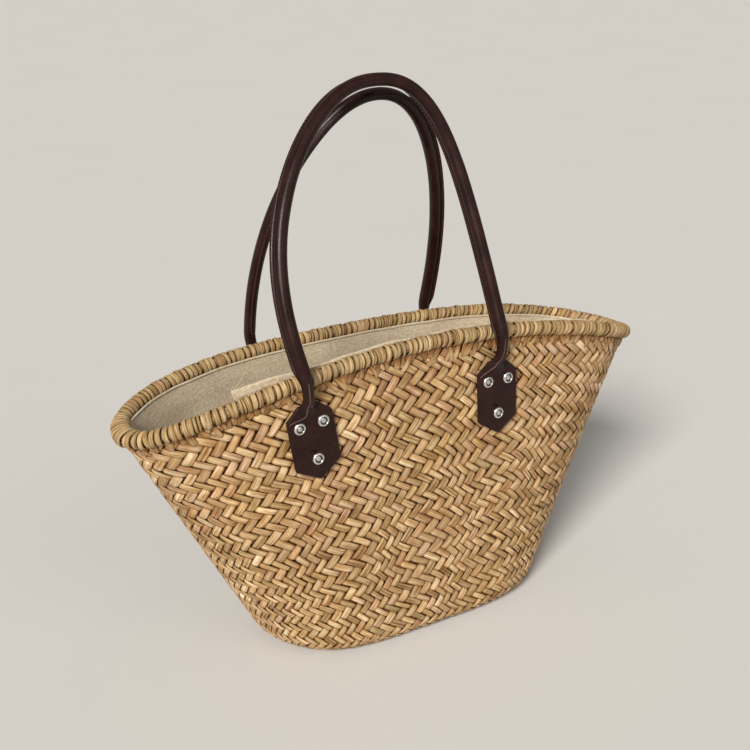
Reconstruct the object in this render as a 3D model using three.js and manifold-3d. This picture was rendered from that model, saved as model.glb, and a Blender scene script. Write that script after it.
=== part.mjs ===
// Woven straw beach bag with two rolled leather handles.
// Millimetres. +X runs along the bag's length, -Y is the front, +Z is up.
// The origin is on the ground, in the middle of the bag's overall length and depth.

import * as THREE from "three";
import { mergeVertices } from "three/addons/utils/BufferGeometryUtils.js";
import Module from "manifold-3d";

const wasm = await Module();
wasm.setup();

// ---------------------------------------------------------------------------
// Driving dimensions
// ---------------------------------------------------------------------------

const GAP = 0.3;                   // air between pieces that touch on the real bag

const BASE = {
  halfLength: 126,
  halfWidth: 70,
  cornerRadius: 16,
};

const RIM = {
  halfLength: 236.5,               // to the middle of the rim's core
  halfWidth: 65,
  frontHeight: 252,                // middle of the front edge
  endDrop: 35,                     // how far the edge falls towards the two ends
  endCurl: 9,                      // the last, steeper part of that fall
  backDrop: 25,                    // the back edge sags this much in its middle
  bow: 12,                         // both long sides bow towards the back by this much
  coreRadius: 4,
  wrapRadius: 7,
  slotHalfWidth: 2.9,              // slot under the wrap, where the wall goes in
};

const WALL = {
  thickness: 3.6,
  bulge: 1.5,                      // how far the long sides swell at half height
  topGap: 0.5,                     // between the wall's edge and the rim's core
};

const LINING = {
  thickness: 1,
  standOff: 3.2,                   // room for the rivets' tails behind it
  rimClearance: 8.2,               // from the rim's middle line to the cloth
  bottom: 4.2,
};

const TAB = {
  width: 38,
  height: 62,
  pointHeight: 12,                 // the pointed lower end
  shoulderHeight: 10,              // the sloped upper end
  neckWidth: 15,
  thickness: 1.8,
  backingThickness: 1.4,
  backingInset: 1,
};

const RIVET = {
  capSeat: 0.9,                    // room under the cap, because the tab is slightly curved
  washerSeat: 1,                   // the same under the washer
  capRadius: 4.8,
  capHeight: 2.6,
  dimpleDepth: 0.5,
  shankRadius: 1.7,
  holeRadius: 2,
  tailRadius: 2.6,
  tailLength: 0.6,
  upperHalfGap: 9.8,               // the two upper rivets, either side of the tab's middle
  upperHeight: 45.5,               // above the tab's tip
  lowerHeight: 17.5,
};

const WASHER = {
  radius: 4.5,
  thickness: 0.8,
};

const HANDLE = {
  radius: 5.3,
  boreRadius: 3.1,
  coreRadius: 2.8,
  halfSpan: 86.5,
  spread: 6,                       // each leg bows outwards by this much at half height
  startHeight: 6,                  // the round part starts this far above the tab
  shoulderHeight: 24,              // here the handle is clear of the rim
  neckOut: 74.5,                   // distance from the bag's middle plane at the tab
  shoulderOut: 79.25,              // and where it passes the rim
  apexOut: 11,                     // and at the top, where the two handles almost meet
};

// Side is -1 for the front of the bag and +1 for the back. Sway moves a handle sideways at half
// height, and lean moves its top. Squareness 2 would be a half ellipse, and more is squarer.
const HANDLES = [
  {
    name: "front", side: -1, middle: -29.3, rise: 218.8, sway: -13.6, lean: 12.2, squareness: 2.4,
    tipHeight: 166, leftTilt: 8.5,
  },
  {
    name: "back", side: 1, middle: 0.2, rise: 224.3, sway: -3.2, lean: -2.8, squareness: 2.15,
    tipHeight: 147, leftTilt: 0,
  },
];

const DEPTH_SHIFT = -4.75;         // puts the origin in the middle of the overall depth

const AROUND = 56;                 // facets around the bag
const AROUND_ROUND = 10;           // facets around small round pieces
const ALONG_HANDLE = 34;

const COLOURS = {
  straw: { color: 0xc8a671, roughness: 0.8, metalness: 0 },
  strawEdge: { color: 0xc2a874, roughness: 0.8, metalness: 0 },
  reed: { color: 0xb08c58, roughness: 0.9, metalness: 0 },
  linen: { color: 0xcbbfa9, roughness: 0.95, metalness: 0 },
  leather: { color: 0x3b1f20, roughness: 0.5, metalness: 0 },
  leatherBack: { color: 0x4a2b27, roughness: 0.7, metalness: 0 },
  rope: { color: 0xb9b0a0, roughness: 0.9, metalness: 0 },
  nickel: { color: 0xd8d5cf, roughness: 0.3, metalness: 1 },
  steel: { color: 0xa9a9a7, roughness: 0.45, metalness: 1 },
};

// ---------------------------------------------------------------------------
// The bag's surface
// ---------------------------------------------------------------------------

const mix = (a, b, t) => a + (b - a) * t;

// One plan outline serves the base, the wall, the rim and the lining:
// an oval with long, nearly straight sides.
function ovalPoint(turn) {
  const along = Math.cos(turn);
  const across = Math.sin(turn) * Math.sqrt(1 + along * along);
  return { along, across };
}

function rimHeight(along, isBack) {
  const endFall = RIM.endDrop * along ** 2 + RIM.endCurl * along ** 4;
  const sag = isBack ? RIM.backDrop * (1 - along ** 2) : 0;
  return RIM.frontHeight - endFall - sag;
}

// How far the rounded bottom edge pulls the wall in at this height.
function cornerInset(height) {
  const radius = BASE.cornerRadius;
  const below = Math.max(0, radius - height);
  return radius - Math.sqrt(radius * radius - below * below);
}

function wallHalfLength(rise) {
  return mix(BASE.halfLength, RIM.halfLength, rise);
}

function wallHalfWidth(rise) {
  return mix(BASE.halfWidth, RIM.halfWidth, rise) + WALL.bulge * 4 * rise * (1 - rise);
}

// A point of the wall's middle surface, moved outward by `outward`.
// rise is 0 on the ground and 1 at the middle of the rim.
function wallPoint(turn, rise, outward) {
  const { along, across } = ovalPoint(turn);
  const inset = cornerInset(rise * RIM.frontHeight);
  const x = along * (wallHalfLength(rise) + outward - inset);
  const y = across * (wallHalfWidth(rise) + outward - inset);
  const bowed = rise * RIM.bow * (0.5 - along * along);
  const height = rise * rimHeight(along, across > 0);
  return new THREE.Vector3(x, y + bowed + DEPTH_SHIFT, height);
}

// The wall's middle surface seen straight from the front or the back: its Y at a given X and Z.
function wallDepth(x, height, side, outward) {
  let rise = height / RIM.frontHeight;
  let along = 0;
  for (let step = 0; step < 6; step++) {
    along = x / wallHalfLength(rise);
    rise = height / rimHeight(along, side > 0);
  }
  const across = Math.sqrt(1 - along ** 4);
  const bowed = rise * RIM.bow * (0.5 - along * along);
  return side * across * (wallHalfWidth(rise) + outward) + bowed + DEPTH_SHIFT;
}

// ---------------------------------------------------------------------------
// Mesh building
// ---------------------------------------------------------------------------

function geometryFrom(points, triangles) {
  const geometry = new THREE.BufferGeometry();
  const flat = points.flatMap((p) => [p.x, p.y, p.z]);
  geometry.setAttribute("position", new THREE.Float32BufferAttribute(flat, 3));
  geometry.setIndex(triangles);
  return geometry;
}

// Triangles between ring `a` and ring `b`, both of `count` points, each ring closed.
function stripBetween(a, b, count) {
  const triangles = [];
  for (let i = 0; i < count; i++) {
    const j = (i + 1) % count;
    triangles.push(a + i, a + j, b + j);
    triangles.push(a + i, b + j, b + i);
  }
  return triangles;
}

// A fan from one centre point to a closed ring.
function fan(centre, ring, count, flipped) {
  const triangles = [];
  for (let i = 0; i < count; i++) {
    const j = (i + 1) % count;
    if (flipped) triangles.push(centre, ring + j, ring + i);
    else triangles.push(centre, ring + i, ring + j);
  }
  return triangles;
}

// Skins a list of closed rings of equal length. The ends are closed by a fan, or, with
// `looped`, the last ring joins the first.
function skinRings(rings, looped) {
  const count = rings[0].length;
  const points = rings.flat();
  const triangles = [];
  const joins = looped ? rings.length : rings.length - 1;
  for (let k = 0; k < joins; k++) {
    const next = (k + 1) % rings.length;
    triangles.push(...stripBetween(k * count, next * count, count));
  }
  if (!looped) {
    const average = (ring) =>
      ring.reduce((sum, p) => sum.add(p), new THREE.Vector3()).divideScalar(count);
    const last = (rings.length - 1) * count;
    points.push(average(rings[0]), average(rings[rings.length - 1]));
    triangles.push(...fan(points.length - 2, 0, count, true));
    triangles.push(...fan(points.length - 1, last, count, false));
  }
  return geometryFrom(points, triangles);
}

function wallRing(rise, outward) {
  const ring = [];
  for (let i = 0; i < AROUND; i++) {
    ring.push(wallPoint((2 * Math.PI * i) / AROUND, rise, outward));
  }
  return ring;
}

// A round or flat section swept along an open path.
function sweep(path, sectionAt) {
  const rings = path.map((point, index) => {
    const before = path[Math.max(0, index - 1)];
    const after = path[Math.min(path.length - 1, index + 1)];
    const forward = new THREE.Vector3().subVectors(after, before).normalize();
    return sectionAt(point, forward);
  });
  return rings;
}

function circleRing(centre, forward, radius, sides) {
  const sideways = new THREE.Vector3().crossVectors(new THREE.Vector3(0, 1, 0), forward).normalize();
  const other = new THREE.Vector3().crossVectors(forward, sideways);
  const ring = [];
  for (let i = 0; i < sides; i++) {
    const angle = (2 * Math.PI * i) / sides;
    ring.push(
      centre.clone()
        .addScaledVector(sideways, radius * Math.cos(angle))
        .addScaledVector(other, radius * Math.sin(angle)),
    );
  }
  return ring;
}

// Corners at the same place become one, and only positions are kept.
function weld(geometry) {
  const plain = geometry.clone();
  plain.deleteAttribute("normal");
  plain.deleteAttribute("uv");
  return mergeVertices(plain, 1e-4);
}

function toManifold(geometry) {
  const welded = weld(geometry);
  return new wasm.Manifold(new wasm.Mesh({
    numProp: 3,
    vertProperties: new Float32Array(welded.attributes.position.array),
    triVerts: new Uint32Array(welded.index.array),
  }));
}

// The same surface with its triangles turned, where needed, so that they face outward.
function outwardFacing(geometry) {
  const welded = weld(geometry);
  if (toManifold(welded).volume() < 0) {
    const corners = welded.index.array;
    for (let i = 0; i < corners.length; i += 3) {
      [corners[i], corners[i + 1]] = [corners[i + 1], corners[i]];
    }
  }
  return welded;
}

function fromManifold(solid) {
  const mesh = solid.getMesh();
  const geometry = new THREE.BufferGeometry();
  geometry.setAttribute("position", new THREE.BufferAttribute(new Float32Array(mesh.vertProperties), 3));
  geometry.setIndex(new THREE.BufferAttribute(new Uint32Array(mesh.triVerts), 1));
  return geometry;
}

// ---------------------------------------------------------------------------
// Basket, rim and lining
// ---------------------------------------------------------------------------

function wallTopRise() {
  return 1 - (RIM.coreRadius + WALL.topGap) / RIM.frontHeight;
}

const WALL_RISES = [0.1, 0.3, 0.5, 0.7, 0.88];

function basketBody() {
  const half = WALL.thickness / 2;
  const corner = [0, 0.02, 0.045].map((rise) => wallRing(rise, half));
  const outside = WALL_RISES.map((rise) => wallRing(rise, half));
  const top = [wallRing(wallTopRise(), half), wallRing(wallTopRise(), -half)];
  const inside = [...WALL_RISES].reverse().map((rise) => wallRing(rise, -half));
  const floor = [0.045, WALL.thickness / RIM.frontHeight].map((rise) => wallRing(rise, -half));
  return skinRings([...corner, ...outside, ...top, ...inside, ...floor], false);
}

// The rim's own axes at one place: out of the bag, and up along the wall.
function rimAxes(turn) {
  const centre = wallPoint(turn, 1, 0);
  const step = 0.01;
  const ahead = new THREE.Vector3().subVectors(wallPoint(turn + step, 1, 0), wallPoint(turn - step, 1, 0));
  const up = new THREE.Vector3().subVectors(centre, wallPoint(turn, 0.9, 0)).normalize();
  const out = new THREE.Vector3().crossVectors(ahead, up).normalize();
  return { centre, out, up };
}

// A ring swept around the rim from a section given as [outward, upward] points.
function rimRing(section) {
  const rings = [];
  for (let i = 0; i < AROUND; i++) {
    const { centre, out, up } = rimAxes((2 * Math.PI * i) / AROUND);
    rings.push(section.map(([u, v]) => centre.clone().addScaledVector(out, u).addScaledVector(up, v)));
  }
  return skinRings(rings, true);
}

function arcPoints(radius, from, to, steps) {
  const points = [];
  for (let k = 0; k <= steps; k++) {
    const angle = mix(from, to, k / steps);
    points.push([radius * Math.cos(angle), radius * Math.sin(angle)]);
  }
  return points;
}

function rimCore() {
  const section = arcPoints(RIM.coreRadius, 0, 2 * Math.PI, 8).slice(0, 8);
  return rimRing(section);
}

// A C-shaped section, open underneath.
function rimWrap() {
  const innerSteps = 6;
  const inner = (RIM.coreRadius + GAP) / Math.cos((0.75 * Math.PI) / innerSteps);
  const outerEdge = Math.asin(RIM.slotHalfWidth / RIM.wrapRadius);
  const innerEdge = Math.asin(RIM.slotHalfWidth / inner);
  const down = Math.PI / 2;
  const outside = arcPoints(RIM.wrapRadius, outerEdge - down, 3 * down - outerEdge, 8);
  const inside = arcPoints(inner, 3 * down - innerEdge, innerEdge - down, innerSteps);
  return rimRing([...outside, ...inside]);
}

function liningWall() {
  const cloth = LINING.thickness;
  const face = -(WALL.thickness / 2 + LINING.standOff);
  const bottomRise = (LINING.bottom + LINING.thickness + 2 * GAP) / RIM.frontHeight;
  const rises = [bottomRise, 0.06, 0.3, 0.6, 0.88];
  const outside = rises.map((rise) => wallRing(rise, face));
  outside.push(wallRing(0.95, -LINING.rimClearance), wallRing(1, -LINING.rimClearance));
  const inside = rises.map((rise) => wallRing(rise, face - cloth));
  inside.push(wallRing(0.95, -LINING.rimClearance - cloth), wallRing(1, -LINING.rimClearance - cloth));
  return skinRings([...outside, ...inside.reverse()], true);
}

function liningBase() {
  const bottom = wallRing((LINING.bottom + LINING.thickness) / RIM.frontHeight, -WALL.thickness - LINING.standOff);
  const flatRing = (height) => bottom.map((p) => new THREE.Vector3(p.x, p.y, height));
  return skinRings([flatRing(LINING.bottom), flatRing(LINING.bottom + LINING.thickness)], false);
}

// ---------------------------------------------------------------------------
// Tabs, rivets and washers
// ---------------------------------------------------------------------------

// Every tab: its tip, its tilt in the plane of the wall, and the side of the bag it is on.
function tabPlaces() {
  const places = [];
  for (const handle of HANDLES) {
    for (const [hand, sign] of [["left", -1], ["right", 1]]) {
      const tilt = THREE.MathUtils.degToRad(sign < 0 ? handle.leftTilt : 0);
      const neckX = handle.middle + sign * HANDLE.halfSpan;
      places.push({
        name: `${handle.name}_${hand}`,
        side: handle.side,
        tilt,
        tipX: neckX + TAB.height * Math.sin(tilt),
        tipZ: handle.tipHeight,
      });
    }
  }
  return places;
}

// From the tab's own flat coordinates (across, up from the tip) to X and Z.
function onTab(place, across, up) {
  const cos = Math.cos(place.tilt);
  const sin = Math.sin(place.tilt);
  return { x: place.tipX + across * cos - up * sin, z: place.tipZ + across * sin + up * cos };
}

function tabOutline(inset) {
  const half = TAB.width / 2 - inset;
  const neck = TAB.neckWidth / 2 - inset / 2;
  const top = TAB.height - inset;
  const shoulder = TAB.height - TAB.shoulderHeight;
  return [[0, inset], [half, TAB.pointHeight], [half, shoulder], [neck, top], [-neck, top],
    [-half, shoulder], [-half, TAB.pointHeight]];
}

// A sleeve of the wall's surface between two distances from it, used to curve the tabs.
function wallSleeve(from, to) {
  const rises = [0.5, 0.7, 0.88, wallTopRise()];
  const outside = rises.map((rise) => wallRing(rise, WALL.thickness / 2 + to));
  const inside = rises.map((rise) => wallRing(rise, WALL.thickness / 2 + from));
  return toManifold(skinRings([...outside, ...inside.reverse()], true));
}

// A flat outline on the tab's face, pushed through the wall from front to back.
function throughTab(place, outline) {
  const near = place.side * 20;
  const far = place.side * 120;
  const ring = (y) => outline.map(([across, up]) => {
    const { x, z } = onTab(place, across, up);
    return new THREE.Vector3(x, y, z);
  });
  return toManifold(skinRings([ring(Math.max(near, far)), ring(Math.min(near, far))], false));
}

const rivetSpots = [
  ["upper_left", -RIVET.upperHalfGap, RIVET.upperHeight],
  ["upper_right", RIVET.upperHalfGap, RIVET.upperHeight],
  ["lower", 0, RIVET.lowerHeight],
];

function circleOutline(across, up, radius) {
  return arcPoints(radius, 0, 2 * Math.PI, AROUND_ROUND)
    .slice(0, AROUND_ROUND)
    .map(([u, v]) => [across + u, up + v]);
}

function rivetHoles(place) {
  const holes = rivetSpots.map(([, across, up]) => throughTab(place, circleOutline(across, up, RIVET.holeRadius)));
  return holes.reduce((all, hole) => all.add(hole));
}

const BACKING_FROM = GAP;
const BACKING_TO = BACKING_FROM + TAB.backingThickness;
const TAB_FROM = BACKING_TO + GAP;
const TAB_TO = TAB_FROM + TAB.thickness;

function tabGeometry(place, from, to, inset) {
  const plate = throughTab(place, tabOutline(inset)).intersect(wallSleeve(from, to));
  return fromManifold(plate.subtract(rivetHoles(place)));
}

// A turned piece whose axis runs along Y, from a profile of [radius, distance into the bag] points.
function turned(profile, x, y, z, side) {
  const outline = profile.map(([radius, inward]) => new THREE.Vector2(radius, -side * inward));
  const geometry = new THREE.LatheGeometry(outline, AROUND_ROUND);
  geometry.translate(x, y, z);
  return outwardFacing(geometry);
}

// Domed cap with a shallow dimple, shank, and the tail that is spread over the washer.
function rivetGeometry(place, across, up) {
  const { x, z } = onTab(place, across, up);
  const outside = TAB_TO + RIVET.capSeat;
  const inside = RIVET.washerSeat + WASHER.thickness + GAP;
  const length = outside + WALL.thickness + inside;
  const y = wallDepth(x, z, place.side, WALL.thickness / 2 + outside);
  const profile = [
    [0, -RIVET.capHeight + RIVET.dimpleDepth],
    [RIVET.capRadius * 0.35, -RIVET.capHeight],
    [RIVET.capRadius * 0.8, -RIVET.capHeight * 0.7],
    [RIVET.capRadius, 0],
    [RIVET.shankRadius, 0],
    [RIVET.shankRadius, length],
    [RIVET.tailRadius, length],
    [RIVET.tailRadius * 0.7, length + RIVET.tailLength],
    [0, length + RIVET.tailLength],
  ];
  return turned(profile, x, y, z, place.side);
}

function washerGeometry(place, across, up) {
  const { x, z } = onTab(place, across, up);
  const y = wallDepth(x, z, place.side, -WALL.thickness / 2 - RIVET.washerSeat);
  const thickness = WASHER.thickness;
  const profile = [
    [RIVET.holeRadius, 0],
    [RIVET.holeRadius, thickness],
    [WASHER.radius, thickness],
    [WASHER.radius, 0],
    [RIVET.holeRadius, 0],
  ];
  return turned(profile, x, y, z, place.side);
}

// ---------------------------------------------------------------------------
// Handles
// ---------------------------------------------------------------------------

// A square-shouldered arch that leans in over the bag until both handles almost meet.
function handlePoint(handle, angle) {
  const power = 2 / handle.squareness;
  const leg = Math.sign(Math.cos(angle));
  const sideways = leg * Math.abs(Math.cos(angle)) ** power;
  const height = handle.rise * Math.sin(angle) ** power;
  const upShare = height / handle.rise;
  const neckZ = handle.tipHeight + TAB.height;
  const bow = (handle.sway + leg * HANDLE.spread) * Math.sin(Math.PI * upShare);
  const x = handle.middle + sideways * HANDLE.halfSpan + bow + handle.lean * upShare;
  const rising = Math.min(1, height / HANDLE.shoulderHeight);
  const leaning = Math.max(0, height - HANDLE.shoulderHeight) / (handle.rise - HANDLE.shoulderHeight);
  const atRim = mix(HANDLE.neckOut, HANDLE.shoulderOut, Math.sin((rising * Math.PI) / 2));
  const out = mix(atRim, HANDLE.apexOut, leaning);
  return new THREE.Vector3(x, handle.side * out, neckZ + height);
}

// The points lie closest together at the two ends, where the handle bends around the rim.
function handlePath(handle) {
  const start = Math.asin((HANDLE.startHeight / handle.rise) ** (handle.squareness / 2));
  const path = [];
  for (let k = 0; k <= ALONG_HANDLE; k++) {
    const fromTop = 1 - (2 * k) / ALONG_HANDLE;
    const eased = Math.sign(fromTop) * (1 - (1 - Math.abs(fromTop)) ** 1.5);
    path.push(handlePoint(handle, Math.PI / 2 + eased * (Math.PI / 2 - start)));
  }
  return path;
}

function handleCover(handle) {
  const path = handlePath(handle);
  const outside = sweep(path, (p, forward) => circleRing(p, forward, HANDLE.radius, AROUND_ROUND));
  const inside = sweep(path, (p, forward) => circleRing(p, forward, HANDLE.boreRadius, AROUND_ROUND));
  return skinRings([...outside, ...inside.reverse()], true);
}

function handleCore(handle) {
  const path = handlePath(handle);
  const rings = sweep(path, (p, forward) => circleRing(p, forward, HANDLE.coreRadius, 8));
  return skinRings(rings, false);
}

// ---------------------------------------------------------------------------
// Assembly
// ---------------------------------------------------------------------------

const bag = new THREE.Group();
bag.name = "beach_bag";

function addPiece(name, geometry, look) {
  const mesh = new THREE.Mesh(geometry, new THREE.MeshStandardMaterial(look));
  mesh.name = name;
  bag.add(mesh);
}

const places = tabPlaces();

const allHoles = places.map(rivetHoles).reduce((all, holes) => all.add(holes));
addPiece("basket_body", fromManifold(toManifold(basketBody()).subtract(allHoles)), COLOURS.straw);
addPiece("rim_core", outwardFacing(rimCore()), COLOURS.reed);
addPiece("rim_wrap", outwardFacing(rimWrap()), COLOURS.strawEdge);
addPiece("lining_wall", outwardFacing(liningWall()), COLOURS.linen);
addPiece("lining_base", outwardFacing(liningBase()), COLOURS.linen);

for (const handle of HANDLES) {
  addPiece(`${handle.name}_handle_cover`, outwardFacing(handleCover(handle)), COLOURS.leather);
  addPiece(`${handle.name}_handle_core`, outwardFacing(handleCore(handle)), COLOURS.rope);
}

for (const place of places) {
  addPiece(`${place.name}_tab`, tabGeometry(place, TAB_FROM, TAB_TO, 0), COLOURS.leather);
  addPiece(
    `${place.name}_tab_backing`,
    tabGeometry(place, BACKING_FROM, BACKING_TO, TAB.backingInset),
    COLOURS.leatherBack,
  );
  for (const [spot, across, up] of rivetSpots) {
    addPiece(`${place.name}_rivet_${spot}`, rivetGeometry(place, across, up), COLOURS.nickel);
    addPiece(`${place.name}_washer_${spot}`, washerGeometry(place, across, up), COLOURS.steel);
  }
}

export default bag;
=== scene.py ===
# Woven straw beach bag: the looks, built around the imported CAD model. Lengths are
# millimetres.

import math

import bpy
import numpy as np
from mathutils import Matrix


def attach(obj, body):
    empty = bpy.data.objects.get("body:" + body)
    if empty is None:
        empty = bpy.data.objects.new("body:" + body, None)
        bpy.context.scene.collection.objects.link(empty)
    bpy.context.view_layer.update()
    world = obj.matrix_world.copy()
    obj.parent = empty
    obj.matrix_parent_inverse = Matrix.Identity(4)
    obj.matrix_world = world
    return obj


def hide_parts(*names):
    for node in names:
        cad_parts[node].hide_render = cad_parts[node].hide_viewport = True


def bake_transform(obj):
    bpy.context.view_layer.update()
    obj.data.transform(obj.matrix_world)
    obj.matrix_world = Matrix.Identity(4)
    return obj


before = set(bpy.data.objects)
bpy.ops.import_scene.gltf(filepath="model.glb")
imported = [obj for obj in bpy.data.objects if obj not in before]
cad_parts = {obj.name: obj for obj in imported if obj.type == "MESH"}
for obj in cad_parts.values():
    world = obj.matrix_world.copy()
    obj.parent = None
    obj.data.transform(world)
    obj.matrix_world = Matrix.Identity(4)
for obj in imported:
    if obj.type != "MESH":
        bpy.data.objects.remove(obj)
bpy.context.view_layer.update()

MM = 0.001
TAU = 2 * math.pi

# ---- Sizes, the same as the CAD's ----

BASE_HALF_LENGTH = 126
BASE_HALF_WIDTH = 70
BASE_CORNER = 16
RIM_HALF_LENGTH = 236.5
RIM_HALF_WIDTH = 65
RIM_FRONT_HEIGHT = 252
RIM_END_DROP = 35
RIM_END_CURL = 9
RIM_BACK_DROP = 25
RIM_BOW = 12
WALL_THICKNESS = 3.6
WALL_BULGE = 1.5
DEPTH_SHIFT = -4.75

TAB_WIDTH = 38
TAB_HEIGHT = 62
TAB_POINT = 12
TAB_SHOULDER = 10
TAB_NECK = 15
TAB_INNER_FACE = 2.0              # outside the wall's outer face
TAB_OUTER_FACE = 3.8
RIVET_SPOTS = (("upper_left", -9.8, 45.5), ("upper_right", 9.8, 45.5), ("lower", 0, 17.5))

TUBE_RADIUS = 5.0
ROPE_RADIUS = 2.8
HALF_SPAN = 86.5
SPREAD = 6
SHOULDER_HEIGHT = 24
NECK_OUT = 74.5
SHOULDER_OUT = 79.25
APEX_OUT = 11

# Seam is the way the handle's seam points, in degrees from sideways towards the other handle,
# on the left leg and on the right one.
HANDLES = (
    {
        "name": "front", "side": -1, "middle": -29.3, "rise": 218.8, "sway": -13.6, "lean": 12.2,
        "squareness": 2.4, "tip": 166, "tilt": 8.5, "seam": (45, 60),
    },
    {
        "name": "back", "side": 1, "middle": 0.2, "rise": 224.3, "sway": -3.2, "lean": -2.8,
        "squareness": 2.15, "tip": 147, "tilt": 0, "seam": (100, 32),
    },
)
HANDS = (("left", -1), ("right", 1))

# ---- Small helpers ----


def mix(a, b, t):
    return a + (b - a) * t


def smooth(edge_from, edge_to, x):
    t = np.clip((np.asarray(x, float) - edge_from) / (edge_to - edge_from), 0, 1)
    return t * t * (3 - 2 * t)


def unit(v):
    return v / np.maximum(np.linalg.norm(v, axis=-1, keepdims=True), 1e-12)


def circle(count):
    """Angles of points that stand evenly round a circle."""
    return np.arange(count) / count * TAU


def lengths_along(path):
    """How far along a path each of its points is."""
    return np.concatenate([[0], np.cumsum(np.linalg.norm(np.diff(path, axis=0), axis=1))])


def smoothed(line, times=3):
    """A line whose points are drawn towards their neighbours, with its ends kept."""
    for _ in range(times):
        line[1:-1] = 0.25 * line[:-2] + 0.5 * line[1:-1] + 0.25 * line[2:]
    return line


def sections(centres, side, side_by, over, over_by):
    """Points about each centre: how far each one is from it along the directions side and over."""
    beside = side[..., None, :] * side_by[..., None]
    return centres[..., None, :] + beside + over[..., None, :] * over_by[..., None]


def rings(centres, side, over, radius, angles):
    """A ring of points about each centre, in the plane of the directions side and over."""
    return sections(centres, side, radius * np.cos(angles), over, radius * np.sin(angles))


def wander(rng, rows, positions, spacing):
    """Smooth random lines, one per row, with values of about -1 to 1."""
    low = positions.min()
    count = int((positions.max() - low) / spacing) + 3
    knots = rng.normal(0, 0.55, (rows, count))
    place = (positions - low) / spacing
    index = np.floor(place).astype(int)
    t = place - index
    t = t * t * (3 - 2 * t)
    return knots[:, index] * (1 - t) + knots[:, index + 1] * t


# ---- The bag's surface ----


def oval(turn):
    along = np.cos(turn)
    return along, np.sin(turn) * np.sqrt(1 + along**2)


def rim_height(along, is_back):
    fall = RIM_END_DROP * along**2 + RIM_END_CURL * along**4
    return RIM_FRONT_HEIGHT - fall - np.where(is_back, RIM_BACK_DROP * (1 - along**2), 0)


def half_width_at(rise, outward):
    return mix(BASE_HALF_WIDTH, RIM_HALF_WIDTH, rise) + outward + WALL_BULGE * 4 * rise * (1 - rise)


def bow_at(along, rise):
    return rise * RIM_BOW * (0.5 - along**2)


def wall_at(turn, rise, outward, inset=0.0):
    """A point of the wall, `outward` from its middle surface."""
    along, across = oval(turn)
    half_length = mix(BASE_HALF_LENGTH, RIM_HALF_LENGTH, rise) + outward - inset
    half_width = half_width_at(rise, outward - inset)
    y = across * half_width + bow_at(along, rise) + DEPTH_SHIFT
    z = rise * rim_height(along, across > 0)
    return np.stack(np.broadcast_arrays(along * half_length, y, z), axis=-1)


CORNER_ARC = BASE_CORNER * math.pi / 2
RIM_MERIDIAN = RIM_FRONT_HEIGHT - BASE_CORNER + CORNER_ARC


def outer_face(turn, meridian):
    """The wall's outer face. The meridian is the way up it from where it leaves the ground."""
    angle = np.clip(meridian, 0, CORNER_ARC) / BASE_CORNER
    above = np.maximum(meridian - CORNER_ARC, 0)
    height = BASE_CORNER * (1 - np.cos(angle)) + above
    inset = BASE_CORNER * (1 - np.sin(angle)) - np.minimum(meridian, 0)
    return wall_at(turn, height / RIM_FRONT_HEIGHT, WALL_THICKNESS / 2, inset)


def outer_normal(turn, meridian):
    step_turn, step_up = 0.004, 0.5
    ahead = outer_face(turn + step_turn, meridian) - outer_face(turn - step_turn, meridian)
    up = outer_face(turn, meridian + step_up) - outer_face(turn, meridian - step_up)
    return unit(np.cross(ahead, up))


def inside_face(turn, meridian, depth):
    """A point `depth` below the outer face, square to it."""
    return outer_face(turn, meridian) - outer_normal(turn, meridian) * np.asarray(depth)[..., None]


def wall_depth(x, z, side, outward):
    """Y of the long walls at X and Z, `outward` from the wall's middle surface."""
    rise = z / RIM_FRONT_HEIGHT
    for _ in range(6):
        along = x / mix(BASE_HALF_LENGTH, RIM_HALF_LENGTH, rise)
        rise = z / rim_height(along, side > 0)
    half_width = half_width_at(rise, outward)
    return side * np.sqrt(1 - along**4) * half_width + bow_at(along, rise) + DEPTH_SHIFT


def out_of_wall(x, z, side):
    """The direction out of a long wall at X and Z."""
    step = 1.0

    def at(x_, z_):
        return np.stack([x_, wall_depth(x_, z_, side, WALL_THICKNESS / 2), z_], axis=-1)

    sideways = unit(at(x + step, z) - at(x - step, z))
    up = unit(at(x, z + step) - at(x, z - step))
    return unit(np.cross(sideways, up)) * -side


# ---- Columns of the weave around the bag ----

COLUMNS = 92                      # strips each way around the bag
ROWS = 58                         # crossings from the ground to the rim
LEAN_RISING = 0.40                # how far a strip leans per crossing, in columns
ROW_START = 4.15                  # between crossings at the ground
ROW_GROWTH = (RIM_MERIDIAN - ROW_START * ROWS) / ROWS**2
WEAVE_TOP = RIM_MERIDIAN - 4      # where the strips end, inside the wrap
FIRST_TURN = 1.5 * math.pi        # column 0 is in the middle of the front
PER_COLUMN = 6                    # entries of the column table for each column
GROUND_WIDTH = 9.4                # of a column in the middle of the front, at the ground
RIM_WIDTH = 11.4                  # the same at the rim


def meridian_of(row):
    return ROW_START * row + ROW_GROWTH * np.maximum(row, 0) ** 2


def around_at(turns, meridian):
    """Lengths of the steps round the bag at one height."""
    points = outer_face(turns, np.full_like(turns, meridian))
    return np.linalg.norm(np.diff(points, axis=0), axis=1)


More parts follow.
